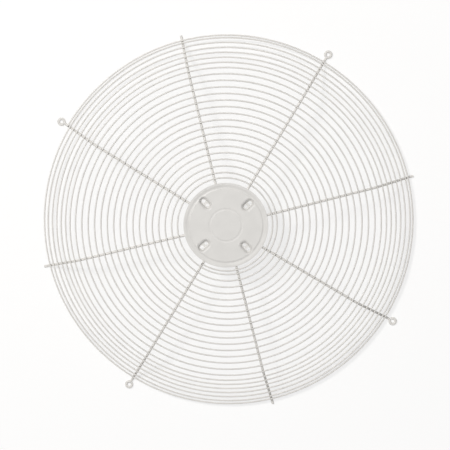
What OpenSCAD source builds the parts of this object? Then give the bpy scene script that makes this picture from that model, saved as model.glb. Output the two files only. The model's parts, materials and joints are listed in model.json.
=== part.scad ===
// Wire fan guard for an axial fan: one spiral wire welded across eight bent spokes, round a pressed
// plate that carries the fan's motor. Four of the spokes end in an eye for a fixing screw.
//
// Frame: Z is the fan's axis and z = 0 is the plane that the eyes are screwed down on. The guard is
// domed towards +Z. The plain spokes lie along X and Y, and the spokes with eyes lie between them.
// A spoke is drawn by a chain of run() and turn() steps, which starts under the plate and follows the
// rod outwards. The spiral is a chain of half turns, each one an arc from one side of the guard to the
// other, which lie on the spokes' outer side at every crossing.

/* [Fixing] */
// Diameter of the circle through the centres of the eyes
eye_circle_d = 620; // [610:1:700]
// Diameter of the screw hole in an eye
eye_hole_d = 5.5; // [4.5:0.1:6.5]
// Height of an eye after it is pressed flat
eye_height = 3.4; // [3:0.1:3.8]
// Diameter across the cut tips of the plain spokes
plain_tip_d = 610; // [606:1:620]

/* [Wire] */
// Diameter of the spokes' rod
spoke_d = 4; // [3.8:0.1:5]
// Diameter of the spiral's wire
wire_d = 2.4; // [2:0.1:3]
// Sides of the spiral wire's section, few so that its 25 turns keep a light mesh
wire_sides = 10; // [8:1:12]
// Depth that crossing wires are welded into each other
weld_sink = 0.12; // [0.1:0.01:0.25]

/* [Dish] */
// Radius at which the face inside the shoulder and the skirt outside it would meet
shoulder_r = 241; // [200:1:250]
// Slope of the face, in degrees
face_slope = 6; // [2:0.5:12]
// Slope of the skirt, in degrees
skirt_slope = 39; // [30:0.5:50]
// Bend radius of the rod at the shoulder and at the plate
shoulder_bend_r = 27; // [15:1:40]
// Bend radius of the rod at its foot
foot_bend_r = 6; // [4:0.5:10]

/* [Spiral] */
// Diameter of the outermost turn, along the middle of the wire
rim_d = 594; // [580:1:596]
// Number of whole half turns, after which a quarter turn ends the wire
half_turns = 49; // [29:4:57]
// Gap between the plate's edge and the middle of the first turn
first_gap = 5; // [4:0.5:10]
// What the wire moves outwards in each of the closer half turns where it starts and ends
closing_step = 2.6; // [2:0.1:4]

/* [Motor plate] */
// Diameter of the plate
plate_d = 132; // [130:1:150]
// Thickness of the plate
plate_t = 2; // [1.5:0.1:2.5]
// Radii of the two round grooves, along their middle
groove_rs = [25, 59.2];
// Width of a groove across its top
groove_w = 4.4; // [3:0.2:5]
// Depth of a groove
groove_depth = 0.9; // [0.4:0.1:1.5]
// Angle from the plain spoke on X to the first pocket, in degrees
pocket_angle = 29; // [20:1:40]
// Distance from the axis to a pocket's middle
pocket_r = 46.75; // [44:0.25:48]
// Depth of a pocket
pocket_depth = 4.6; // [4:0.2:6]
// Slope of a pocket's wall, in degrees
pocket_wall = 62; // [50:1:70]
// Radius of the rounding round the top of a pocket
pocket_lip_r = 4.4; // [4:0.2:5]
// Distance between the two screw holes of a pocket
hole_spacing = 8.5; // [8:0.1:10]
// Diameters of the inner and the outer screw hole of a pocket
hole_ds = [4.8, 5.8];

/* [Hidden] */

$fn = 48;
arc_fn = 120;
// Pieces of one wire differ in radius by a step, and the thinner reaches into the thicker by an overlap
step = 0.02;
overlap = 0.2;
spoke_r = spoke_d / 2;
wire_r = wire_d / 2;
plate_r = plate_d / 2;
tip_chamfer = 0.4;
pockets = 4;

// An eye is the rod's end curled round its screw hole, after a short bend the other way
eye_trim = 0.1;
eye_bend_r = eye_hole_d / 2 - eye_trim + spoke_r;
neck_bend_r = 4;
neck_turn = acos(neck_bend_r / (neck_bend_r + eye_bend_r));
neck_run = sqrt(eye_bend_r ^ 2 + 2 * neck_bend_r * eye_bend_r);
eye_opening = 26;
eye_turn = 270 + neck_turn - eye_opening;

// The spoke's route in its own plane: the corners of the middle of the rod, and the runs between them
foot_run = 1;
foot_tangent = foot_bend_r * tan(skirt_slope / 2);
foot_r = eye_circle_d / 2 - neck_run - foot_run - foot_tangent;
shoulder_turn = skirt_slope - face_slope;
shoulder_tangent = shoulder_bend_r * tan(shoulder_turn / 2);
foot_z = spoke_r + step;
shoulder_z = foot_z + (foot_r - shoulder_r) * tan(skirt_slope);
hub_tangent = shoulder_bend_r * tan(face_slope / 2);
hub_z = shoulder_z + (shoulder_r - plate_r) * tan(face_slope);
// A spoke reaches under the plate as far as the outer groove's pressed underside
spoke_start_r = groove_rs[1] + groove_w / 2 + 0.2;
hub_run = plate_r - spoke_start_r - hub_tangent;
face_run = (shoulder_r - plate_r) / cos(face_slope) - hub_tangent - shoulder_tangent;
skirt_run = (foot_r - shoulder_r) / cos(skirt_slope) - shoulder_tangent - foot_tangent;
plate_z = hub_z + spoke_r - weld_sink + plate_t;

// The seat line is the route of the spiral's wire across a spoke: the rod's own, moved outwards
seat = spoke_r + wire_r - weld_sink;
bend_centre = [shoulder_r, shoulder_z] + shoulder_tangent * [-cos(face_slope), sin(face_slope)]
              - shoulder_bend_r * [sin(face_slope), cos(face_slope)];
seat_bend_r = shoulder_bend_r + seat;
face_end = bend_centre + seat_bend_r * [sin(face_slope), cos(face_slope)];
skirt_start = bend_centre + seat_bend_r * [sin(skirt_slope), cos(skirt_slope)];
face_length = (face_end.x - plate_r - first_gap) / cos(face_slope);
bend_length = seat_bend_r * shoulder_turn * PI / 180;
skirt_length = (rim_d / 2 - skirt_start.x) / cos(skirt_slope);

// The wire's first two half turns and its last two and a half are wound closer than the rest
half_pitch = (face_length + bend_length + skirt_length - 4.5 * closing_step) / (half_turns - 4);
spiral_start_angle = 225;

// Point of the seat line at a distance along it from the start of the spiral, as [radius, height]
function seat_point(distance) =
    let (past_face = distance - face_length, past_bend = past_face - bend_length)
    past_face < 0 ? face_end + past_face * [cos(face_slope), -sin(face_slope)]
    : past_bend < 0 ?
        let (slope = face_slope + past_face / seat_bend_r * 180 / PI)
        bend_centre + seat_bend_r * [sin(slope), cos(slope)]
    : skirt_start + past_bend * [cos(skirt_slope), -sin(skirt_slope)];

// Distance along the seat line at which half turn k starts
function half_turn_start(k) =
    let (open_turns = min(max(k - 2, 0), half_turns - 4))
    open_turns * half_pitch + (k - open_turns) * closing_step;

// Line of the plate's top from the axis to the edge, as [radius, height]
function plate_line() = concat([[0, 0]],
    [for (r = groove_rs, step = [[-1/2, 0], [-1/6, -1], [1/6, -1], [1/2, 0]])
        [r + step.x * groove_w, step.y * groove_depth]],
    [[plate_r, 0]]);

function reversed(points) = [for (i = [len(points) - 1 : -1 : 0]) points[i]];

// Straight rod along +X that reaches into its neighbours, and what follows it
module run(length) {
    translate([-overlap, 0, 0]) rotate([0, 90, 0]) cylinder(h = length + 2 * overlap, r = spoke_r);
    translate([length, 0, 0]) children();
}

// Bend of a rod of radius r towards -Z, or towards +Z if the angle is negative, which starts a lead
// ahead of the origin, and what follows it
module turn(angle, bend_r, r = spoke_r + step, lead = 0) {
    side = sign(angle);
    lead_angle = lead / bend_r * 180 / PI;
    translate([0, 0, -side * bend_r]) {
        rotate([side * 90, 0, 0]) rotate([0, 0, 90 - abs(angle)])
            rotate_extrude(angle = abs(angle) + lead_angle, $fn = arc_fn)
                translate([bend_r, 0]) circle(r = r);
        rotate([0, angle, 0]) translate([0, 0, side * bend_r]) children();
    }
}

// The rod's cut end, with its edge broken
module tip() {
    rotate([0, 90, 0]) cylinder(h = tip_chamfer, r1 = spoke_r, r2 = spoke_r - tip_chamfer);
}

// Eye curled from the rod's end in the plane z = 0, pressed flat and drilled
module eye() {
    side = 2 * (neck_run + eye_bend_r + spoke_r);
    difference() {
        intersection() {
            rotate([90, 0, 0]) turn(neck_turn, neck_bend_r)
                turn(-eye_turn, eye_bend_r, r = spoke_r, lead = overlap);
            translate([0, -side / 2, -eye_height / 2]) cube([side, side, eye_height]);
        }
        translate([neck_run, 0, -spoke_d]) cylinder(h = 2 * spoke_d, d = eye_hole_d);
    }
}

// A spoke from under the plate to its foot in the fixing plane, and what follows it
module spoke(angle) {
    color("gainsboro") rotate([0, 0, angle]) translate([spoke_start_r, 0, hub_z])
        run(hub_run) turn(face_slope, shoulder_bend_r)
        run(face_run) turn(shoulder_turn, shoulder_bend_r)
        run(skirt_run) turn(-skirt_slope, foot_bend_r)
        children();
}

module eye_spoke(number) {
    spoke(45 + 90 * (number - 1)) run(foot_run) eye();
}

module plain_spoke(number) {
    foot_end = foot_r + foot_tangent;
    spoke(90 * (number - 1)) run(plain_tip_d / 2 - tip_chamfer - foot_end) tip();
}

// Half turn k of the spiral: an arc from one side of the guard to the other, tilted to lose height
module half_turn(k, sweep = 180) {
    start = seat_point(half_turn_start(k));
    end = seat_point(half_turn_start(k + 1));
    width = start.x + end.x;
    drop = start.y - end.y;
    thin = k % 2;
    lead = k == 0 || !thin ? 0 : overlap / width * 360 / PI;
    rotate([0, 0, spiral_start_angle + 180 * k])
        translate([(start.x - end.x) / 2, 0, (start.y + end.y) / 2])
            rotate([0, -atan2(drop, width), 0]) rotate([0, 0, -lead])
                rotate_extrude(angle = sweep + 2 * lead, $fn = arc_fn)
                    translate([norm([width, drop]) / 2, 0])
                        circle(r = wire_r - thin * step / 2, $fn = wire_sides);
}

module ring_spiral() {
    color("gainsboro") {
        for (k = [0 : half_turns - 1]) half_turn(k);
        half_turn(half_turns, 90);
    }
}

// Half section of a pocket in the plate: its hollow, or with a sheet's thickness as grow its outside
module pocket_section(grow, top) {
    lip_edge = 10;
    straight = pocket_depth - pocket_lip_r * (cos(lip_edge) - cos(pocket_wall));
    lip = [hole_ds[1] / 2 + 1 + straight / tan(pocket_wall) + pocket_lip_r * sin(pocket_wall),
           -pocket_lip_r * cos(lip_edge)];
    bend_r = pocket_lip_r - grow;
    wall_top = lip + bend_r * [-sin(pocket_wall), cos(pocket_wall)];
    floor_z = -pocket_depth - grow;
    floor_r = wall_top.x - (wall_top.y - floor_z) / tan(pocket_wall);
    difference() {
        polygon([[0, top], [lip.x, top], lip, wall_top, [floor_r, floor_z], [0, floor_z]]);
        translate(lip) circle(r = bend_r);
    }
}

// Long round form along X that has the half section given as its child
module oblong(length) {
    for (side = [-1, 1])
        translate([side * length / 2, 0, 0]) rotate([0, 0, -side * 90])
            rotate_extrude(angle = 180) children();
    rotate([90, 0, 90]) translate([0, 0, -length / 2]) linear_extrude(height = length) {
        children();
        mirror([1, 0]) children();
    }
}

module each_pocket() {
    for (i = [0 : pockets - 1])
        rotate([0, 0, pocket_angle + 360 / pockets * i]) translate([pocket_r, 0, 0]) children();
}

module motor_plate() {
    color("lightgray") translate([0, 0, plate_z]) difference() {
        union() {
            rotate_extrude($fn = arc_fn)
                polygon(concat(plate_line(), [for (p = reversed(plate_line())) p - [0, plate_t]]));
            each_pocket() oblong(hole_spacing) pocket_section(plate_t, -plate_t / 2);
        }
        each_pocket() {
            oblong(hole_spacing) pocket_section(0, 1);
            for (i = [0, 1])
                translate([(i - 1/2) * hole_spacing, 0, -2 * pocket_depth])
                    cylinder(h = 2 * pocket_depth, d = hole_ds[i]);
        }
    }
}

motor_plate();
ring_spiral();
eye_spoke(1);  // eye_spoke_1
eye_spoke(2);  // eye_spoke_2
eye_spoke(3);  // eye_spoke_3
eye_spoke(4);  // eye_spoke_4
plain_spoke(1);  // plain_spoke_1
plain_spoke(2);  // plain_spoke_2
plain_spoke(3);  // plain_spoke_3
plain_spoke(4);  // plain_spoke_4
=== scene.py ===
"""Dresses the wire fan guard: a spiral wire on eight bent spokes, round a pressed motor plate.

Lengths are in metres and angles in radians. Z is the fan's axis, the guard is domed upwards, and its
eyes are screwed down in the plane z = 0. Plain spokes lie along X and Y, and spokes with an eye lie
between them.
"""

import json
import logging
import math
from dataclasses import dataclass
from enum import Enum
from functools import cached_property

import bmesh
import bpy
from mathutils import Matrix, Vector


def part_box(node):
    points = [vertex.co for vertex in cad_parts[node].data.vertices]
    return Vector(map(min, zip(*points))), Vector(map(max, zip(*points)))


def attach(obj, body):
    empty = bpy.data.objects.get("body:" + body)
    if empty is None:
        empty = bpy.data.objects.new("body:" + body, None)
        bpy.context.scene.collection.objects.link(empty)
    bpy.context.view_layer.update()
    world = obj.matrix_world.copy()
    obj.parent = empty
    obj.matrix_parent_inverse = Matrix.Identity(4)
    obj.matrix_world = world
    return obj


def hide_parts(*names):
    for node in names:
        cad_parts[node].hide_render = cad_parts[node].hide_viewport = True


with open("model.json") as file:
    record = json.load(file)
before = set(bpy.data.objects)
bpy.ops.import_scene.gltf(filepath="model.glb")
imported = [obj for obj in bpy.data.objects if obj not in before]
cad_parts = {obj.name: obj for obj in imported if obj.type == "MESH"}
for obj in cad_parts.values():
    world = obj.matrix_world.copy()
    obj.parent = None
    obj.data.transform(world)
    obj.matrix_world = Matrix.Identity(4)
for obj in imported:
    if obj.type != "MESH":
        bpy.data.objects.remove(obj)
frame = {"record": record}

MM = 0.001
FULL_TURN = 2 * math.pi
QUARTER_TURN = math.pi / 2
SHARP_ANGLE = math.radians(38)
# Points closer than this are joined, between the stretches of a wire and the quarters of the sheet
RING_SEAM = 0.001 * MM
SHEET_SEAM = 0.005 * MM
UP = Vector((0.0, 0.0, 1.0))
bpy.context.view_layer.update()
log = logging.getLogger("fan_guard")


# ---------------------------------------------------------------------------------------------
# Shader graphs
# ---------------------------------------------------------------------------------------------


class Value:
    """A number that varies over a surface, which takes part in Python expressions."""

    def __init__(self, graph: "Graph", socket: bpy.types.NodeSocket) -> None:
        """Wraps a socket of a graph."""
        self.graph = graph
        self.socket = socket

    def _joined(self, operation: str, first: object, second: object) -> "Value":
        """Adds a Math node.

        Args:
            operation: The Math node's operation.
            first: The left operand, a Value or a number.
            second: The right operand, a Value or a number.

        Returns:
            The node's result.
        """
        node = self.graph.add("ShaderNodeMath", {"operation": operation}, {0: first, 1: second})
        return Value(self.graph, node.outputs[0])

    def __add__(self, other: object) -> "Value":
        """The sum."""
        return self._joined("ADD", self, other)

    def __radd__(self, other: object) -> "Value":
        """The sum, with a number on the left."""
        return self._joined("ADD", other, self)

    def __sub__(self, other: object) -> "Value":
        """The difference."""
        return self._joined("SUBTRACT", self, other)

    def __rsub__(self, other: object) -> "Value":
        """The difference, with a number on the left."""
        return self._joined("SUBTRACT", other, self)

    def __mul__(self, other: object) -> "Value":
        """The product."""
        return self._joined("MULTIPLY", self, other)

    def __rmul__(self, other: object) -> "Value":
        """The product, with a number on the left."""
        return self._joined("MULTIPLY", other, self)

    def at_most(self, other: object) -> "Value":
        """The smaller of this and another value."""
        return self._joined("MINIMUM", self, other)


class Graph:
    """The node tree of one new material."""

    def __init__(self, name: str) -> None:
        """Makes an empty material of that name.

        Args:
            name: The material's name.
        """
        self.material = bpy.data.materials.new(name)
        self.material.use_nodes = True
        self.tree = self.material.node_tree
        self.tree.nodes.clear()

    def add(self, kind: str, settings: dict | None = None, sockets: dict | None = None) -> bpy.types.Node:
        """Adds a node.

        Args:
            kind: The node's type.
            settings: Its properties by name, or a colour ramp's stops as "stops".
            sockets: Its inputs by name or number, each a Value, an output socket or a constant.

        Returns:
            The new node.
        """
        node = self.tree.nodes.new(kind)
        for name, setting in (settings or {}).items():
            if name == "stops":
                self._set_stops(node.color_ramp, setting)
            else:
                setattr(node, name, setting)
        for key, given in (sockets or {}).items():
            if isinstance(given, Value):
                given = given.socket
            if isinstance(given, bpy.types.NodeSocket):
                self.tree.links.new(given, node.inputs[key])
            else:
                node.inputs[key].default_value = given
        return node

    @staticmethod
    def _set_stops(ramp: bpy.types.ColorRamp, stops: list[tuple[float, tuple]]) -> None:
        """Gives a ramp its stops, each a position and a colour.

        Args:
            ramp: The ramp.
            stops: Each stop's position and colour.
        """
        while len(ramp.elements) < len(stops):
            ramp.elements.new(1.0)
        for element, (position, colour) in zip(ramp.elements, stops):
            element.position = position
            element.color = colour

    def value(
        self, kind: str, output: str, settings: dict | None = None, sockets: dict | None = None
    ) -> Value:
        """Adds a node and returns one of its outputs by name, as a Value."""
        return Value(self, self.add(kind, settings, sockets).outputs[output])

    def noise(self, place: bpy.types.NodeSocket, grain: float, detail: float = 2.0) -> Value:
        """Adds a noise texture from 0 to 1.

        Args:
            place: The coordinates that it reads.
            grain: The size of one spot.
            detail: How many finer layers it holds.

        Returns:
            The noise's value.
        """
        sockets = {"Vector": place, "Scale": 1 / grain, "Detail": detail}
        return self.value("ShaderNodeTexNoise", "Fac", {}, sockets)

    def finish(self, shader: bpy.types.NodeSocket) -> bpy.types.Material:
        """Ends the graph in a shader and returns the material."""
        self.add("ShaderNodeOutputMaterial", {}, {"Surface": shader})
        return self.material


# ---------------------------------------------------------------------------------------------
# Finishes
# ---------------------------------------------------------------------------------------------


@dataclass(frozen=True)
class PowderCoat:
    """A satin powder coat on steel, with its fine orange peel and slight mottling."""

    name: str
    colour: tuple[float, float, float]
    roughness: float = 0.42
    roughness_range: float = 0.1
    peel_size: float = 1.3 * MM
    peel_detail: float = 1.5
    peel_depth: float = 0.035 * MM
    peel_strength: float = 0.55
    speckle_size: float = 0.6 * MM
    speckle_detail: float = 1.0
    speckle_weight: float = 0.25
    mottle_size: float = 24 * MM
    mottle_detail: float = 3.0
    mottle_span: tuple[float, float] = (0.3, 0.7)
    mottle_share: float = 0.045
    gloss_weight: float = 0.12
    gloss_roughness: float = 0.3

    def material(self) -> bpy.types.Material:
        """Builds the coat's material.

        Returns:
            The new material.
        """
        graph = Graph(self.name)
        place = graph.add("ShaderNodeTexCoord").outputs["Object"]
        mottle = graph.noise(place, self.mottle_size, self.mottle_detail)
        speckle = graph.noise(place, self.speckle_size, self.speckle_detail)
        darker, lighter = self._tinted(1 - self.mottle_share), self._tinted(1 + self.mottle_share)
        stops = list(zip(self.mottle_span, (darker, lighter)))
        spots = (1 - self.speckle_weight) * mottle + self.speckle_weight * speckle
        shade = graph.add("ShaderNodeValToRGB", {"stops": stops}, {"Fac": spots})
        peel = graph.noise(place, self.peel_size, self.peel_detail)
        bump_sockets = {"Strength": self.peel_strength, "Distance": self.peel_depth, "Height": peel}
        bump = graph.add("ShaderNodeBump", {}, bump_sockets)
        sockets = {
            "Base Color": shade.outputs["Color"],
            "Roughness": self.roughness - self.roughness_range / 2 + self.roughness_range * mottle,
            "Normal": bump.outputs["Normal"],
            "Coat Weight": self.gloss_weight,
            "Coat Roughness": self.gloss_roughness,
        }
        return graph.finish(graph.add("ShaderNodeBsdfPrincipled", {}, sockets).outputs["BSDF"])

    def _tinted(self, level: float) -> tuple[float, float, float, float]:
        """The coat's colour at a level of brightness, with full alpha."""
        red, green, blue = (min(channel * level, 1.0) for channel in self.colour)
        return (red, green, blue, 1.0)


@dataclass(frozen=True)
class StudioFloor:
    """A white floor that keeps soft shadows and meets a white background without an edge."""

    name: str = "studio_floor"
    colour: tuple[float, float, float] = (0.97, 0.96, 0.95)
    lift: float = 0.66

    def material(self) -> bpy.types.Material:
        """Builds the floor's material.

        Returns:
            The new material.
        """
        graph = Graph(self.name)
        path = graph.add("ShaderNodeLightPath")
        camera, glossy, through = (
            Value(graph, path.outputs[name])
            for name in ("Is Camera Ray", "Is Glossy Ray", "Is Transmission Ray")
        )
        seen = (camera + glossy + through).at_most(1.0)
        matt = graph.add("ShaderNodeBsdfDiffuse", {}, {"Color": (*self.colour, 1.0)})
        white = graph.add("ShaderNodeEmission", {}, {"Color": (1.0, 1.0, 1.0, 1.0), "Strength": 1.0})
        mixed = graph.add(
            "ShaderNodeMixShader",
            {},
            {"Fac": seen * self.lift, 1: matt.outputs["BSDF"], 2: white.outputs["Emission"]},
        )
        return graph.finish(mixed.outputs["Shader"])


# ---------------------------------------------------------------------------------------------
# Sizes
# ---------------------------------------------------------------------------------------------


def mount_sizes(name: str) -> dict:
    """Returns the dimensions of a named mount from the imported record, in millimetres."""
    return next(mount["dims"] for mount in frame["record"]["mounts"] if mount["name"] == name)


@dataclass(frozen=True)
class GuardSizes:
    """The guard's driving sizes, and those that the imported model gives."""

    spoke_r: float = 2 * MM
    wire_r: float = 1.2 * MM
    weld_sink: float = 0.12 * MM
    shoulder_r: float = 241 * MM
    face_slope: float = math.radians(6)
    skirt_slope: float = math.radians(39)
    shoulder_bend_r: float = 27 * MM
    foot_bend_r: float = 6 * MM
    neck_bend_r: float = 4 * MM
    eye_height: float = 3.4 * MM
    eye_opening: float = math.radians(26)
    rim_r: float = 297 * MM
    half_turns: int = 49
    first_gap: float = 5 * MM
    closing_step: float = 2.6 * MM
    closing_half_turns: int = 4
    spiral_start: float = math.radians(225)
    plate_t: float = 2 * MM

    @cached_property
    def plate_r(self) -> float:
        """Radius of the motor plate."""
        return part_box("motor_plate")[1].x

    @cached_property
    def plate_z(self) -> float:
        """Height of the motor plate's top."""
        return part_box("motor_plate")[1].z

    @cached_property
    def spoke_start_r(self) -> float:
        """Distance from the axis to the spokes' inner ends."""
        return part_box("plain_spoke_1")[0].x

    @cached_property
    def plain_tip_r(self) -> float:
        """Distance from the axis to the tips of the plain spokes."""
        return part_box("plain_spoke_1")[1].x

    @cached_property
    def eye_r(self) -> float:
        """Distance from the axis to the middle of an eye."""
        return mount_sizes("eye_screws")["pcd_mm"] / 2 * MM

    @cached_property
    def eye_hole_r(self) -> float:
        """Radius of an eye's screw hole."""
        return mount_sizes("eye_screws")["hole_r_mm"] * MM

    @cached_property
    def hub_z(self) -> float:
        """Height of the middle of the spokes under the plate."""
        return self.plate_z - self.plate_t + self.weld_sink - self.spoke_r

    @cached_property
    def shoulder_z(self) -> float:
        """Height at which the middle lines of face and skirt would meet."""
        return self.hub_z - (self.shoulder_r - self.plate_r) * math.tan(self.face_slope)

    @cached_property
    def foot_r(self) -> float:
        """Distance from the axis at which the skirt's middle line meets the foot's."""
        return self.shoulder_r + (self.shoulder_z - self.spoke_r) / math.tan(self.skirt_slope)


@dataclass(frozen=True)
class SeatPoint:
    """A point of the seat line: its distance from the axis, its height and the slope there."""

    radius: float
    height: float
    slope: float

    def at(self, angle: float) -> Vector:
        """The point in space, at an angle round the axis."""
        return Vector((self.radius * math.cos(angle), self.radius * math.sin(angle), self.height))


@dataclass(frozen=True)
class SeatLine:
    """The line along which the spiral's wire lies on the outer side of every spoke."""

    sizes: GuardSizes

    def _bend(self) -> tuple[float, float, float]:
        """The shoulder bend's middle as distance and height, and the seat line's radius round it.

        Returns:
            The middle's distance and height, and the radius.
        """
        s = self.sizes
        bend_r, slope = s.shoulder_bend_r, s.face_slope
        tangent = bend_r * math.tan((s.skirt_slope - slope) / 2)
        middle_r = s.shoulder_r - tangent * math.cos(slope) - bend_r * math.sin(slope)
        middle_z = s.shoulder_z + tangent * math.sin(slope) - bend_r * math.cos(slope)
        return middle_r, middle_z, bend_r + s.spoke_r + s.wire_r - s.weld_sink

    def _lengths(self) -> tuple[float, float, float]:
        """The lengths of the seat line on the face, round the shoulder and on the skirt.

        Returns:
            The three lengths, from the plate outwards.
        """
        s = self.sizes
        middle_r, _, radius = self._bend()
        face = (middle_r + radius * math.sin(s.face_slope) - s.plate_r - s.first_gap) / math.cos(s.face_slope)
        skirt = (s.rim_r - middle_r - radius * math.sin(s.skirt_slope)) / math.cos(s.skirt_slope)
        return face, radius * (s.skirt_slope - s.face_slope), skirt

    def point(self, distance: float) -> SeatPoint:
        """Finds a point of the seat line.

        Args:
            distance: The way along the line from the start of the spiral.

        Returns:
            The point there.
        """
        s = self.sizes
        face, bend, _ = self._lengths()
        middle_r, middle_z, radius = self._bend()
        slope = min(max(s.face_slope + (distance - face) / radius, s.face_slope), s.skirt_slope)
        straight = min(distance - face, 0.0) + max(distance - face - bend, 0.0)
        return SeatPoint(
            middle_r + radius * math.sin(slope) + straight * math.cos(slope),
            middle_z + radius * math.cos(slope) - straight * math.sin(slope),
            slope,
        )

    def after(self, half_turns: float) -> SeatPoint:
        """Finds where the wire lies after a number of half turns, which needn't be whole.

        Args:
            half_turns: How many half turns are wound so far.

        Returns:
            The point there.
        """
        s = self.sizes
        whole_pitch = sum(self._lengths()) - (s.closing_half_turns + 0.5) * s.closing_step
        pitch = whole_pitch / (s.half_turns - s.closing_half_turns)
        wide = min(max(half_turns - s.closing_half_turns / 2, 0.0), s.half_turns - s.closing_half_turns)
        return self.point(wide * pitch + (half_turns - wide) * s.closing_step)


# ---------------------------------------------------------------------------------------------
# Mesh tools
# ---------------------------------------------------------------------------------------------


def direction(azimuth: float, elevation: float) -> Vector:
    """The unit vector at an angle round Z from X, and an angle above the floor."""
    level = math.cos(elevation)
    return Vector((level * math.cos(azimuth), level * math.sin(azimuth), math.sin(elevation)))


class Side(Enum):
    """The side to which a wire bends, in its own frame: X runs forwards and Z is up."""

    UP = (0.0, 0.0, 1.0)
    DOWN = (0.0, 0.0, -1.0)
    LEFT = (0.0, 1.0, 0.0)
    RIGHT = (0.0, -1.0, 0.0)


def newly_made(made: dict, key: str = "geom") -> tuple[list[bmesh.types.BMVert], list[bmesh.types.BMEdge]]:
    """Picks the new vertices, and the edges between them, from what an operator returned.

    Args:
        made: The operator's result.
        key: The name under which it lists the new elements.

    Returns:
        The vertices and the edges.
    """
    verts = [e for e in made[key] if isinstance(e, bmesh.types.BMVert)]
    known = set(verts)
    edges = [e for e in made[key] if isinstance(e, bmesh.types.BMEdge) and known.issuperset(e.verts)]
    return verts, edges


class BentWire:
    """A round wire that is drawn forwards from a cut end, by extruding and spinning its last ring."""

    def __init__(self, radius: float, sides: int, start: Matrix, broken_edge: float = 0.3 * MM) -> None:
        """Starts the wire.

        Args:
            radius: The wire's radius.
            sides: The number of sides of its section.
            start: Where it starts: X runs forwards along the wire.
            broken_edge: The chamfer round its two cut ends.
        """
        self.mesh = bmesh.new()
        self.stretches: list[bpy.types.Mesh] = []
        self.here = start.copy()
        self.growth = radius / (radius - broken_edge)
        self.broken_edge = broken_edge
        across = start @ Matrix.Rotation(QUARTER_TURN, 4, "Y")
        bmesh.ops.create_circle(
            self.mesh, cap_ends=True, segments=sides, radius=radius - broken_edge, matrix=across
        )
        self.ring = list(self.mesh.edges)
        self.run(broken_edge, self.growth)

    def run(self, length: float, growth: float = 1.0) -> "BentWire":
        """Draws the wire straight on, and widens it by a factor.

        Args:
            length: How far it runs.
            growth: The factor by which its section widens.

        Returns:
            The wire itself.
        """
        verts, self.ring = newly_made(bmesh.ops.extrude_edge_only(self.mesh, edges=self.ring))
        self.here = self.here @ Matrix.Translation((length, 0.0, 0.0))
        forwards = self.here.to_3x3() @ Vector((length, 0.0, 0.0))
        bmesh.ops.translate(self.mesh, verts=verts, vec=forwards)
        if growth != 1.0:
            to_centre = Matrix.Translation(-self.here.translation)
            bmesh.ops.scale(self.mesh, verts=verts, vec=(growth, growth, growth), space=to_centre)
        return self

    def turn(self, angle: float, radius: float, side: Side, steps: int) -> "BentWire":
        """Bends the wire to a side, round an arc of that radius at its middle line.

        Args:
            angle: How far it turns.
            radius: The bend's radius.
            side: The side to which it bends.
            steps: The number of straight parts in the bend.

        Returns:
            The wire itself.
        """
        towards = self.here.to_3x3() @ Vector(side.value)
        forwards = self.here.to_3x3() @ Vector((1.0, 0.0, 0.0))
        centre = self.here.translation + radius * towards
        self._spin(centre, forwards.cross(towards), angle, steps, Vector())
        return self

    def wind(self, angle: float, steps: int, growth: float, drop: float) -> "BentWire":
        """Winds the wire on round the Z axis, while it moves outwards and down.

        Args:
            angle: How far it winds.
            steps: The number of straight parts.
            growth: How far it moves outwards.
            drop: How far it moves down.

        Returns:
            The wire itself.
        """
        outwards = self.here.translation.copy()
        outwards.z = 0.0
        step = (outwards.normalized() * growth - UP * drop) / steps
        self._spin(Vector(), UP, angle, steps, step)
        out_now = Matrix.Rotation(angle, 3, "Z") @ outwards.normalized()
        self.here.translation += out_now * growth - UP * drop
        return self

    def _spin(self, centre: Vector, axis: Vector, angle: float, steps: int, step: Vector) -> None:
        """Spins the last ring about an axis, and moves it by a step after each part of the angle.

        Args:
            centre: A point of the axis.
            axis: The axis' direction.
            angle: The whole angle.
            steps: The number of parts.
            step: The move after each part.
        """
        verts = {v for edge in self.ring for v in edge.verts}
        made = bmesh.ops.spin(
            self.mesh, geom=[*verts, *self.ring], cent=centre, axis=axis, dvec=step, angle=angle, steps=steps
        )
        _, self.ring = newly_made(made, "geom_last")
        to_centre = Matrix.Translation(centre)
        self.here = to_centre @ Matrix.Rotation(angle, 4, axis) @ to_centre.inverted() @ self.here

    def set_aside(self) -> None:
        """Puts the wire so far aside and goes on from its last ring, so that a long wire stays quick."""
        self.mesh.verts.index_update()
        last = {v.index for edge in self.ring for v in edge.verts}
        stretch = bpy.data.meshes.new("stretch")
        self.mesh.to_mesh(stretch)
        self.stretches.append(stretch)
        laid = [v for v in self.mesh.verts if v.index not in last]
        bmesh.ops.delete(self.mesh, geom=laid, context="VERTS")
        self.ring = list(self.mesh.edges)

    def cut(self) -> bmesh.types.BMesh:
        """Ends the wire with a broken edge and a flat face, and returns its whole mesh.

        Returns:
            The wire's mesh.
        """
        self.run(self.broken_edge, 1 / self.growth)
        bmesh.ops.edgeloop_fill(self.mesh, edges=self.ring)
        for stretch in self.stretches:
            self.mesh.from_mesh(stretch)
            bpy.data.meshes.remove(stretch)
        bmesh.ops.remove_doubles(self.mesh, verts=self.mesh.verts, dist=RING_SEAM)
        bmesh.ops.recalc_face_normals(self.mesh, faces=self.mesh.faces)
        return self.mesh


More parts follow.
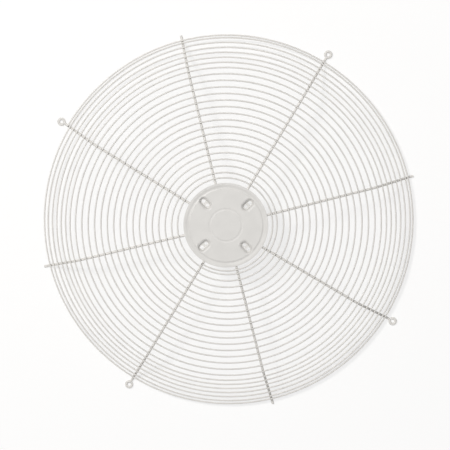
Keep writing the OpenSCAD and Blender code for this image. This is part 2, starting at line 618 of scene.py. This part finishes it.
def finished(
    mesh: bmesh.types.BMesh, name: str, coat: bpy.types.Material, slot: str, *nodes: str
) -> bpy.types.Object:
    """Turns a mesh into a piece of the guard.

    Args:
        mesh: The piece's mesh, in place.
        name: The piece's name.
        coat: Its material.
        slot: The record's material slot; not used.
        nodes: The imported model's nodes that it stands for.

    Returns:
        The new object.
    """
    data = bpy.data.meshes.new(name)
    mesh.to_mesh(data)
    mesh.free()
    data.shade_smooth()
    data.set_sharp_from_angle(angle=SHARP_ANGLE)
    data.materials.append(coat)
    piece = bpy.data.objects.new(name, data)
    bpy.context.scene.collection.objects.link(piece)
    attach(piece, "root")
    if nodes:
        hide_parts(*nodes)
    log.info("%s: %d faces", name, len(data.polygons))
    return piece


# ---------------------------------------------------------------------------------------------
# The spiral and its welds
# ---------------------------------------------------------------------------------------------


@dataclass(frozen=True)
class Spiral:
    """The one long wire that is wound outwards across the spokes."""

    sizes: GuardSizes
    sides: int = 12
    crossings_a_half_turn: int = 4
    least_steps: int = 6
    added_steps: int = 12
    broken_edge: float = 0.2 * MM

    @property
    def crossings(self) -> int:
        """How many eighths of a turn the wire runs, from one spoke to the next."""
        return self.crossings_a_half_turn * self.sizes.half_turns + self.crossings_a_half_turn // 2

    def seat(self, crossing: int) -> tuple[SeatPoint, float]:
        """Where the wire crosses a spoke: the point of the seat line, and the spoke's angle."""
        half_turns = crossing / self.crossings_a_half_turn
        return SeatLine(self.sizes).after(half_turns), self.sizes.spiral_start + math.pi * half_turns

    def build(self, coat: bpy.types.Material) -> bpy.types.Object:
        """Winds the wire from spoke to spoke.

        Args:
            coat: The wire's finish.

        Returns:
            The new piece.
        """
        seat, angle = self.seat(0)
        start = Matrix.Translation(seat.at(angle)) @ Matrix.Rotation(angle + QUARTER_TURN, 4, "Z")
        wire = BentWire(self.sizes.wire_r, self.sides, start, self.broken_edge)
        wire.here.translation = seat.at(angle)
        step_angle = math.pi / self.crossings_a_half_turn
        for crossing in range(self.crossings):
            following, _ = self.seat(crossing + 1)
            steps = self.least_steps + round(self.added_steps * seat.radius / self.sizes.rim_r)
            wire.wind(step_angle, steps, following.radius - seat.radius, seat.height - following.height)
            wire.set_aside()
            seat = following
        return finished(wire.cut(), "spiral_wire", coat, "wire_coating", "ring_spiral")


@dataclass(frozen=True)
class Welds:
    """The small nuggets where the spiral's wire is welded to the spokes, given by their half sizes."""

    spiral: Spiral
    along_spoke: float = 2.1 * MM
    along_wire: float = 1.9 * MM
    thickness: float = 1.0 * MM
    sides: int = 8
    rows: int = 5

    def build(self, coat: bpy.types.Material) -> bpy.types.Object:
        """Sets one nugget between the wires at every crossing.

        Args:
            coat: The nuggets' finish, whose dark grey is painted shade at the crossings.

        Returns:
            The new piece.
        """
        sizes = self.spiral.sizes
        shape = Matrix.Diagonal((self.along_spoke, self.along_wire, self.thickness, 1.0))
        one = bmesh.new()
        bmesh.ops.create_uvsphere(
            one, u_segments=self.sides, v_segments=self.rows, radius=1.0, matrix=shape
        )
        nugget = bpy.data.meshes.new("nugget")
        one.to_mesh(nugget)
        one.free()
        mesh = bmesh.new()
        for crossing in range(self.spiral.crossings + 1):
            seat, angle = self.spiral.seat(crossing)
            lie = Matrix.Rotation(angle, 4, "Z") @ Matrix.Rotation(seat.slope, 4, "Y")
            sink = Matrix.Translation((0.0, 0.0, sizes.weld_sink / 2 - sizes.wire_r))
            known = len(mesh.verts)
            mesh.from_mesh(nugget)
            mesh.verts.ensure_lookup_table()
            place = Matrix.Translation(seat.at(angle)) @ lie @ sink
            bmesh.ops.transform(mesh, verts=mesh.verts[known:], matrix=place)
        bpy.data.meshes.remove(nugget)
        return finished(mesh, "weld_nuggets", coat, "wire_coating")


# ---------------------------------------------------------------------------------------------
# The spokes
# ---------------------------------------------------------------------------------------------


@dataclass(frozen=True)
class Spoke:
    """A bent rod from under the plate, down the dome and out along the fixing plane."""

    sizes: GuardSizes
    node: str
    angle: float
    sides: int = 20
    hub_steps: int = 4
    shoulder_steps: int = 14
    foot_steps: int = 12

    def to_foot(self) -> BentWire:
        """Bends the rod as far as the end of its foot's bend.

        Returns:
            The rod, which lies along the fixing plane at its end.
        """
        s = self.sizes
        start = Matrix.Translation((s.spoke_start_r, 0.0, s.hub_z))
        rod = BentWire(s.spoke_r, self.sides, start)
        shoulder_turn = s.skirt_slope - s.face_slope
        hub_tangent = s.shoulder_bend_r * math.tan(s.face_slope / 2)
        shoulder_tangent = s.shoulder_bend_r * math.tan(shoulder_turn / 2)
        foot_tangent = s.foot_bend_r * math.tan(s.skirt_slope / 2)
        rod.run(s.plate_r - s.spoke_start_r - hub_tangent - rod.broken_edge)
        rod.turn(s.face_slope, s.shoulder_bend_r, Side.DOWN, self.hub_steps)
        rod.run((s.shoulder_r - s.plate_r) / math.cos(s.face_slope) - hub_tangent - shoulder_tangent)
        rod.turn(shoulder_turn, s.shoulder_bend_r, Side.DOWN, self.shoulder_steps)
        rod.run((s.foot_r - s.shoulder_r) / math.cos(s.skirt_slope) - shoulder_tangent - foot_tangent)
        rod.turn(s.skirt_slope, s.foot_bend_r, Side.UP, self.foot_steps)
        return rod

    def end(self, rod: BentWire) -> None:
        """Draws the rod on to its cut tip."""
        rod.run(self.sizes.plain_tip_r - rod.here.translation.x - rod.broken_edge)

    def build(self, coat: bpy.types.Material) -> bpy.types.Object:
        """Bends the whole rod and turns it to its place.

        Args:
            coat: The rod's finish.

        Returns:
            The new piece.
        """
        rod = self.to_foot()
        self.end(rod)
        mesh = rod.cut()
        bmesh.ops.rotate(mesh, verts=mesh.verts, cent=Vector(), matrix=Matrix.Rotation(self.angle, 3, "Z"))
        return finished(mesh, self.node.replace("spoke", "rod"), coat, "wire_coating", self.node)


@dataclass(frozen=True)
class EyeSpoke(Spoke):
    """A spoke whose end is curled round a screw hole and pressed flat."""

    neck_steps: int = 10
    eye_steps: int = 44
    eye_trim: float = 0.1 * MM

    def end(self, rod: BentWire) -> None:
        """Bends the neck aside, curls the eye back over it and presses both flat.

        Args:
            rod: The rod, bent as far as its foot.
        """
        s = self.sizes
        eye_bend_r = s.eye_hole_r - self.eye_trim + s.spoke_r
        neck_turn = math.acos(s.neck_bend_r / (s.neck_bend_r + eye_bend_r))
        neck_run = math.sqrt(eye_bend_r ** 2 + 2 * s.neck_bend_r * eye_bend_r)
        neck_x = s.eye_r - neck_run
        rod.run(neck_x - rod.here.translation.x)
        rod.turn(neck_turn, s.neck_bend_r, Side.RIGHT, self.neck_steps)
        curl = 3 * QUARTER_TURN + neck_turn - s.eye_opening
        rod.turn(curl, eye_bend_r, Side.LEFT, self.eye_steps)
        self._press(rod.mesh, neck_x, neck_x + neck_run / 2)

    def _press(self, mesh: bmesh.types.BMesh, start_x: float, full_x: float) -> None:
        """Presses the rod flat, from nothing at one distance to the eye's height at another.

        Args:
            mesh: The rod's mesh, along the X axis.
            start_x: Where the pressing starts.
            full_x: Where the rod has the eye's height.
        """
        s = self.sizes
        for vert in mesh.verts:
            share = min(max((vert.co.x - start_x) / (full_x - start_x), 0.0), 1.0)
            reach = s.spoke_r + (s.eye_height / 2 - s.spoke_r) * share
            if share > 0:
                vert.co.z = s.spoke_r + min(max(vert.co.z - s.spoke_r, -reach), reach)


# ---------------------------------------------------------------------------------------------
# The motor plate
# ---------------------------------------------------------------------------------------------


def arc(
    middle: tuple[float, float], radius: float, first: float, last: float, steps: int
) -> list[tuple[float, float]]:
    """Lists the points of an arc, with its ends, from one angle to another."""
    turns = [first + (last - first) * step / steps for step in range(steps + 1)]
    return [(middle[0] + radius * math.cos(turn), middle[1] + radius * math.sin(turn)) for turn in turns]


@dataclass(frozen=True)
class Arc:
    """An arc of an outline at height 0: where on the X axis its middle lies, its radius and its angles."""

    middle: float
    radius: float
    first: float
    last: float
    steps: int

    def draw(self, mesh: bmesh.types.BMesh) -> tuple[bmesh.types.BMVert, bmesh.types.BMVert]:
        """Spins one vertex along the arc and returns its two ends.

        Args:
            mesh: The mesh that it is added to.

        Returns:
            The first and the last vertex.
        """
        centre = Vector((self.middle, 0.0, 0.0))
        first = mesh.verts.new(centre + self.radius * direction(self.first, 0.0))
        made = bmesh.ops.spin(
            mesh, geom=[first], cent=centre, axis=UP, angle=self.last - self.first, steps=self.steps
        )
        last, _ = newly_made(made, "geom_last")
        return first, last[0]


def outline(mesh: bmesh.types.BMesh, arcs: tuple[Arc, Arc], cuts: int) -> list[bmesh.types.BMEdge]:
    """Draws a closed outline of two arcs and the straight lines between them.

    Args:
        mesh: The mesh that it is added to.
        arcs: The two arcs, in the order in which the outline runs.
        cuts: The number of cuts in each straight line.

    Returns:
        The outline's edges.
    """
    known = set(mesh.edges)
    (first, second), (third, fourth) = (part.draw(mesh) for part in arcs)
    straight = [mesh.edges.new((second, third)), mesh.edges.new((fourth, first))]
    bmesh.ops.subdivide_edges(mesh, edges=straight, cuts=cuts)
    return [edge for edge in mesh.edges if edge not in known]


@dataclass(frozen=True)
class Pocket:
    """One dished pocket of the plate, on the X axis: a hollow round a spine between its two screw holes."""

    inner_hole: tuple[float, float]
    outer_hole: tuple[float, float]
    depth: float = 4.6 * MM
    wall: float = math.radians(62)
    lip_r: float = 4.4 * MM
    heel_r: float = 0.8 * MM
    floor_edge: float = 1.0 * MM
    lip_steps: int = 9
    heel_steps: int = 5
    round_steps: int = 40
    straight_cuts: int = 7
    hole_sides: int = 32

    def on_spine(self, place: Vector) -> Vector:
        """The point of the spine that is nearest to a place on the sheet."""
        return Vector((min(max(place.x, self.inner_hole[0]), self.outer_hole[0]), 0.0, 0.0))

    def reach_to(self, place: Vector) -> float:
        """How far a place on the sheet is from the spine, seen from above."""
        return (place - self.on_spine(place)).xy.length

    def section(self) -> list[tuple[float, float]]:
        """The section from the lip's outer edge to the floor, as reach from the spine and height.

        Returns:
            The section's points.
        """
        turn = self.wall
        wall_drop = self.depth - (self.lip_r + self.heel_r) * (1 - math.cos(turn))
        heel_x = self.outer_hole[1] + self.floor_edge - self.heel_r * math.tan(turn / 2)
        lip_x = heel_x + (self.heel_r + self.lip_r) * math.sin(turn) + wall_drop / math.tan(turn)
        lip = arc((lip_x, -self.lip_r), self.lip_r, QUARTER_TURN, QUARTER_TURN + turn, self.lip_steps)
        heel_middle = (heel_x, self.heel_r - self.depth)
        heel = arc(heel_middle, self.heel_r, turn - QUARTER_TURN, -QUARTER_TURN, self.heel_steps)
        return lip + heel

    def press(self, mesh: bmesh.types.BMesh, sheet: "SheetLine") -> list[bmesh.types.BMEdge]:
        """Lofts the pocket's lip, wall and floor, which never stand above the sheet's own line.

        Args:
            mesh: The mesh that takes the pocket.
            sheet: The plate's section, whose grooves the lip may run into.

        Returns:
            The edges of the lip's outer outline.
        """
        section = self.section()
        lip_reach = section[0][0]
        arcs = (
            Arc(self.outer_hole[0], lip_reach, -QUARTER_TURN, QUARTER_TURN, self.round_steps),
            Arc(self.inner_hole[0], lip_reach, QUARTER_TURN, 3 * QUARTER_TURN, self.round_steps),
        )
        lip = outline(mesh, arcs, self.straight_cuts)
        for vert in {v for edge in lip for v in edge.verts}:
            vert.co.z = sheet.height(vert.co.xy.length)
        ring = lip
        for reach, height in section[1:]:
            verts, ring = newly_made(bmesh.ops.extrude_edge_only(mesh, edges=ring))
            for vert in verts:
                spine = self.on_spine(vert.co)
                away = vert.co - spine
                away.z = 0.0
                vert.co = spine + away.normalized() * reach
                vert.co.z = min(height, sheet.height(vert.co.xy.length))
        rims = list(ring)
        for distance, hole_r in (self.inner_hole, self.outer_hole):
            centre = Matrix.Translation((distance, 0.0, -self.depth))
            hole = bmesh.ops.create_circle(
                mesh, cap_ends=False, segments=self.hole_sides, radius=hole_r, matrix=centre
            )
            rims += {edge for vert in hole["verts"] for edge in vert.link_edges}
        bmesh.ops.triangle_fill(mesh, edges=rims, use_beauty=True, normal=UP)
        return lip


@dataclass(frozen=True)
class Groove:
    """A round groove of the plate: the radius of its valley, how wide its walls are and its depth."""

    radius: float
    inner_w: float
    outer_w: float
    depth: float
    steps: int = 12

    def points(self) -> list[tuple[float, float]]:
        """The groove's points after its inner edge: down one soft wall and up the other.

        Returns:
            The points, as distance from the axis and height.
        """
        shares = [step / self.steps for step in range(1, self.steps + 1)]
        falling = [(self.radius - self.inner_w * (1 - share), share) for share in shares]
        rising = [(self.radius + self.outer_w * share, 1 - share) for share in shares]
        return [
            (distance, -self.depth * (1 - math.cos(math.pi * share)) / 2)
            for distance, share in falling + rising
        ]


@dataclass(frozen=True)
class SheetLine:
    """The line of the plate's top from its axis to its edge, with its grooves."""

    edge_r: float
    grooves: tuple[Groove, Groove] = (
        Groove(25 * MM, 2.6 * MM, 2.9 * MM, 0.33 * MM),
        Groove(58.9 * MM, 2.8 * MM, 4.8 * MM, 0.7 * MM),
    )
    spacing: float = 1.1 * MM

    def points(self) -> list[tuple[float, float]]:
        """The line's points, as distance from the axis and height.

        Returns:
            The points.
        """
        points = [(0.0, 0.0)]
        for groove in (*self.grooves, None):
            until = self.edge_r if groove is None else groove.radius - groove.inner_w
            start = points[-1][0]
            steps = round((until - start) / self.spacing)
            points += [(start + (until - start) * step / steps, 0.0) for step in range(1, steps + 1)]
            if groove is not None:
                points += groove.points()
        return points

    def height(self, distance: float) -> float:
        """The line's height at a distance from the axis.

        Args:
            distance: The distance from the axis.

        Returns:
            The height there.
        """
        points = self.points()
        for (start, low), (end, high) in zip(points, points[1:]):
            if start <= distance <= end:
                return low + (high - low) * (distance - start) / (end - start)
        return 0.0


@dataclass(frozen=True)
class MotorPlate:
    """The pressed disc that carries the motor, with two round grooves and four pockets."""

    sizes: GuardSizes
    pocket_angle: float = math.radians(29)
    pockets: int = 4
    steps: int = 240
    gap: float = 1.3 * MM
    opening_gaps: int = 3
    broken_edge: float = 0.22 * MM
    edge_angle: float = math.radians(60)

    def build(self, coat: bpy.types.Material) -> bpy.types.Object:
        """Presses the sheet, gives it its thickness and breaks its cut edges.

        Args:
            coat: The plate's finish.

        Returns:
            The new piece.
        """
        mesh = bmesh.new()
        self._press_quarter(mesh)
        bmesh.ops.spin(
            mesh,
            geom=[*mesh.verts, *mesh.edges, *mesh.faces],
            cent=Vector(),
            axis=UP,
            use_duplicate=True,
            angle=FULL_TURN * (self.pockets - 1) / self.pockets,
            steps=self.pockets - 1,
        )
        place = Matrix.Translation(UP * self.sizes.plate_z) @ Matrix.Rotation(self.pocket_angle, 4, "Z")
        bmesh.ops.transform(mesh, verts=mesh.verts, matrix=place)
        bmesh.ops.remove_doubles(mesh, verts=mesh.verts, dist=SHEET_SEAM)
        bmesh.ops.recalc_face_normals(mesh, faces=mesh.faces)
        mesh.normal_update()
        if sum(face.normal.z * face.calc_area() for face in mesh.faces) < 0:
            bmesh.ops.reverse_faces(mesh, faces=mesh.faces)
        piece = finished(mesh, "pressed_plate", coat, "plate_coating", "motor_plate")
        self._thicken(piece)
        return piece

    def _pocket(self) -> Pocket:
        """The pocket, with its holes on the circles of the two motor mounts.

        Returns:
            The pocket, on the X axis.
        """
        inner, outer = (mount_sizes(name) for name in ("motor_screws_inner", "motor_screws_outer"))
        return Pocket(
            (inner["pcd_mm"] / 2 * MM, inner["hole_r_mm"] * MM),
            (outer["pcd_mm"] / 2 * MM, outer["hole_r_mm"] * MM),
        )

    def _press_quarter(self, mesh: bmesh.types.BMesh) -> None:
        """Spins a quarter of the sheet, opens it over the pocket and sets the pocket in.

        Args:
            mesh: The mesh that takes the quarter.
        """
        sheet = SheetLine(self.sizes.plate_r)
        pocket = self._pocket()
        start = Matrix.Rotation(-math.pi / self.pockets, 3, "Z")
        verts = [mesh.verts.new(start @ Vector((radius, 0.0, height))) for radius, height in sheet.points()]
        chain = [mesh.edges.new(pair) for pair in zip(verts, verts[1:])]
        bmesh.ops.spin(
            mesh,
            geom=[*verts, *chain],
            cent=Vector(),
            axis=UP,
            angle=FULL_TURN / self.pockets,
            steps=self.steps // self.pockets,
        )
        edge = pocket.section()[0][0]
        over = [face for face in mesh.faces if pocket.reach_to(face.calc_center_median()) < edge + self.gap]
        bmesh.ops.delete(mesh, geom=over, context="FACES")
        near = edge + self.opening_gaps * self.gap
        opening = [
            edge
            for edge in mesh.edges
            if edge.is_boundary and all(pocket.reach_to(vert.co) < near for vert in edge.verts)
        ]
        lip = pocket.press(mesh, sheet)
        bmesh.ops.triangle_fill(mesh, edges=opening + lip, use_beauty=True, normal=UP)

    def _thicken(self, piece: bpy.types.Object) -> None:
        """Gives the sheet its thickness below its top, with a small radius round every cut edge.

        Args:
            piece: The plate, which is still a sheet without thickness.
        """
        sheet = piece.modifiers.new("sheet", "SOLIDIFY")
        sheet.thickness = self.sizes.plate_t
        sheet.offset = -1.0
        sheet.use_even_offset = True
        edges = piece.modifiers.new("broken_edges", "BEVEL")
        edges.width = self.broken_edge
        edges.segments = 2
        edges.limit_method = "ANGLE"
        edges.angle_limit = self.edge_angle
        normals = piece.modifiers.new("flat_normals", "WEIGHTED_NORMAL")
        normals.keep_sharp = True


# ---------------------------------------------------------------------------------------------
# The studio
# ---------------------------------------------------------------------------------------------


@dataclass(frozen=True)
class Lamp:
    """A square soft lamp that points at the guard."""

    name: str
    azimuth: float
    elevation: float
    distance: float
    size: float
    power: float
    colour: tuple[float, float, float] = (1.0, 1.0, 1.0)

    def build(self) -> bpy.types.Object:
        """Hangs the lamp at its angle round and above the guard.

        Returns:
            The lamp's object.
        """
        data = bpy.data.lights.new(self.name, "AREA")
        data.shape = "SQUARE"
        data.size = self.size
        data.energy = self.power
        data.color = self.colour
        lamp = bpy.data.objects.new(self.name, data)
        away = direction(self.azimuth, self.elevation)
        lamp.location = away * self.distance
        lamp.rotation_euler = away.to_track_quat("Z", "Y").to_euler()
        bpy.context.scene.collection.objects.link(lamp)
        return lamp


@dataclass(frozen=True)
class Studio:
    """The floor, the lamps, the world and the camera."""

    floor_size: float = 9.0
    floor_gap: float = 0.1 * MM
    sky_strength: float = 0.33
    camera_distance: float = 2.178
    camera_tilt: float = math.radians(5.44)
    camera_azimuth: float = math.radians(53)
    camera_roll: float = math.radians(14)
    camera_aim: Vector = Vector((-0.0012, 0.0007, 0.069))
    lens: float = 112.0
    sensor_width: float = 36.0

    def build(self) -> None:
        """Sets up everything round the guard."""
        self._floor()
        self._sky()
        self._camera()
        lamps = (
            Lamp("key_lamp", math.radians(124), math.radians(55), 4.0, 0.8, 80.0, (1.0, 0.985, 0.965)),
            Lamp("top_lamp", math.radians(60), math.radians(84), 3.4, 2.6, 36.0),
        )
        for lamp in lamps:
            lamp.build()
        bpy.context.scene.view_settings.view_transform = "Standard"

    def _floor(self) -> None:
        """Lays the floor just under the guard's feet."""
        mesh = bmesh.new()
        under = Matrix.Translation((0.0, 0.0, -self.floor_gap))
        bmesh.ops.create_grid(mesh, x_segments=1, y_segments=1, size=self.floor_size / 2, matrix=under)
        data = bpy.data.meshes.new("floor")
        mesh.to_mesh(data)
        mesh.free()
        data.materials.append(StudioFloor().material())
        floor = bpy.data.objects.new("floor", data)
        bpy.context.scene.collection.objects.link(floor)

    def _sky(self) -> None:
        """Lights the scene evenly from all round, with white behind the floor."""
        world = bpy.data.worlds.new("sky")
        world.use_nodes = True
        background = world.node_tree.nodes["Background"]
        background.inputs["Color"].default_value = (1.0, 1.0, 1.0, 1.0)
        background.inputs["Strength"].default_value = self.sky_strength
        bpy.context.scene.world = world

    def _camera(self) -> None:
        """Sets the camera almost over the guard's axis."""
        data = bpy.data.cameras.new("camera")
        data.lens = self.lens
        data.sensor_width = self.sensor_width
        camera = bpy.data.objects.new("camera", data)
        back = direction(self.camera_azimuth, math.pi / 2 - self.camera_tilt)
        upright = direction(math.pi / 2 - self.camera_roll, 0.0)
        right = upright.cross(back).normalized()
        upright = back.cross(right)
        turned = Matrix((right, upright, back)).transposed().to_4x4()
        camera.matrix_world = Matrix.Translation(self.camera_aim + back * self.camera_distance) @ turned
        bpy.context.scene.collection.objects.link(camera)
        bpy.context.scene.camera = camera


# ---------------------------------------------------------------------------------------------
# The guard
# ---------------------------------------------------------------------------------------------


@dataclass(frozen=True)
class FanGuard:
    """The whole guard."""

    sizes: GuardSizes
    wire_coat: PowderCoat
    weld_shade_coat: PowderCoat
    plate_coat: PowderCoat
    pairs: int = 4

    def build(self) -> list[bpy.types.Object]:
        """Builds every piece of the guard and returns them.

        Returns:
            The pieces, in the order in which they are built.
        """
        wire_coat = self.wire_coat.material()
        spiral = Spiral(self.sizes)
        # The nuggets' dark coat is painted shade where the wire crosses each spoke.
        pieces = [spiral.build(wire_coat), Welds(spiral).build(self.weld_shade_coat.material())]
        for number in range(self.pairs):
            angle = FULL_TURN * number / self.pairs
            plain = Spoke(self.sizes, f"plain_spoke_{number + 1}", angle)
            pieces.append(plain.build(wire_coat))
            eye = EyeSpoke(self.sizes, f"eye_spoke_{number + 1}", angle + math.pi / self.pairs)
            pieces.append(eye.build(wire_coat))
        pieces.append(MotorPlate(self.sizes).build(self.plate_coat.material()))
        return pieces


def main() -> None:
    """Builds the guard and its studio."""
    logging.basicConfig(level=logging.INFO, format="%(name)s: %(message)s")
    guard = FanGuard(
        GuardSizes(),
        wire_coat=PowderCoat("wire_powder_coat", (0.69, 0.672, 0.645), peel_size=0.9 * MM),
        # Painted shade: the weld nuggets' dark grey stands in for the shade where the wire crosses each
        # spoke.
        weld_shade_coat=PowderCoat("weld_painted_shade", (0.27, 0.26, 0.245), roughness=0.55, mottle_share=0.2),
        plate_coat=PowderCoat("plate_powder_coat", (0.665, 0.652, 0.63)),
    )
    pieces = guard.build()
    log.info("%d pieces", len(pieces))
    Studio().build()


if __name__ == "__main__":
    main()
